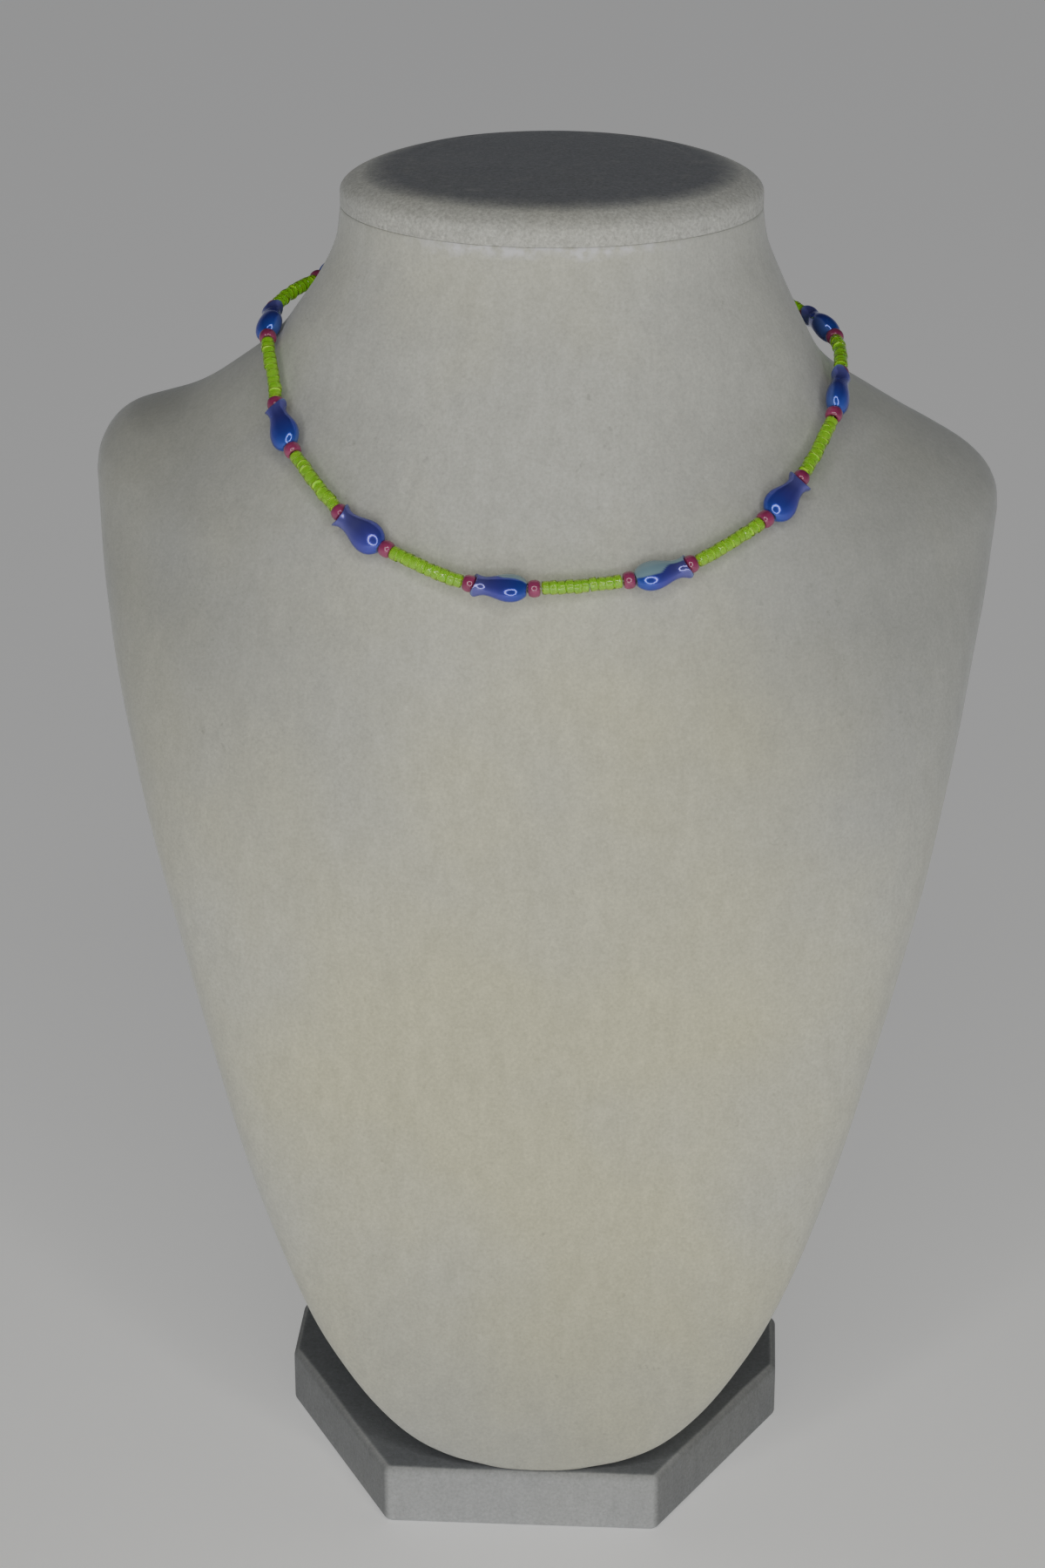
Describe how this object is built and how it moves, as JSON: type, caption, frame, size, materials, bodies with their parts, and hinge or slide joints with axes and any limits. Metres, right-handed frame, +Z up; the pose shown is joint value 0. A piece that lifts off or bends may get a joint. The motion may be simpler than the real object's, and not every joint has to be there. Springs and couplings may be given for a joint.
{
  "type": "beaded choker necklace on a neck display bust",
  "caption": "Single strand choker of blue tulip beads, pink spacers and lime seed beads, laid round a velvet covered neck display bust with a cut-corner base.",
  "frame": {"origin": "centre of the base's underside", "axes": "+Z up, -Y towards the front of the bust, +X to the right as seen from the front"},
  "size_m": [0.2089, 0.1315, 0.3103],
  "materials": {
    "bust_velvet": "short cream-grey velvet pile",
    "cap_velvet": "short grey velvet pile",
    "base_velvet": "short cool grey velvet pile",
    "blue_glass": "pressed glass with an iridescent coat on one side",
    "pink_glass": "opaque and glossy",
    "lime_glass": "clear and glossy with a lime coloured bore",
    "clasp_metal": "plain satin",
    "thread_nylon": "clear thread"
  },
  "bodies": {
    "root": {"base": "base_velvet", "bust_form": "bust_velvet", "neck_cap": "cap_velvet", "lime_run_front": "lime_glass", "pink_bead_right_1": "pink_glass", "tulip_bead_right_1": "blue_glass", "pink_bead_right_2": "pink_glass", "lime_run_right_1": "lime_glass", "pink_bead_right_3": "pink_glass", "tulip_bead_right_2": "blue_glass", "pink_bead_right_4": "pink_glass", "lime_run_right_2": "lime_glass", "pink_bead_right_5": "pink_glass", "tulip_bead_right_3": "blue_glass", "pink_bead_right_6": "pink_glass", "lime_run_right_3": "lime_glass", "pink_bead_right_7": "pink_glass", "tulip_bead_right_4": "blue_glass", "pink_bead_right_8": "pink_glass", "lime_run_right_4": "lime_glass", "pink_bead_right_9": "pink_glass", "tulip_bead_right_5": "blue_glass", "pink_bead_right_10": "pink_glass", "lime_run_right_5": "lime_glass", "pink_bead_left_1": "pink_glass", "tulip_bead_left_1": "blue_glass", "pink_bead_left_2": "pink_glass", "lime_run_left_1": "lime_glass", "pink_bead_left_3": "pink_glass", "tulip_bead_left_2": "blue_glass", "pink_bead_left_4": "pink_glass", "lime_run_left_2": "lime_glass", "pink_bead_left_5": "pink_glass", "tulip_bead_left_3": "blue_glass", "pink_bead_left_6": "pink_glass", "lime_run_left_3": "lime_glass", "pink_bead_left_7": "pink_glass", "tulip_bead_left_4": "blue_glass", "pink_bead_left_8": "pink_glass", "lime_run_left_4": "lime_glass", "pink_bead_left_9": "pink_glass", "tulip_bead_left_5": "blue_glass", "pink_bead_left_10": "pink_glass", "lime_run_left_5": "lime_glass", "clasp": "clasp_metal", "thread": "thread_nylon"}
  },
  "joints": []
}
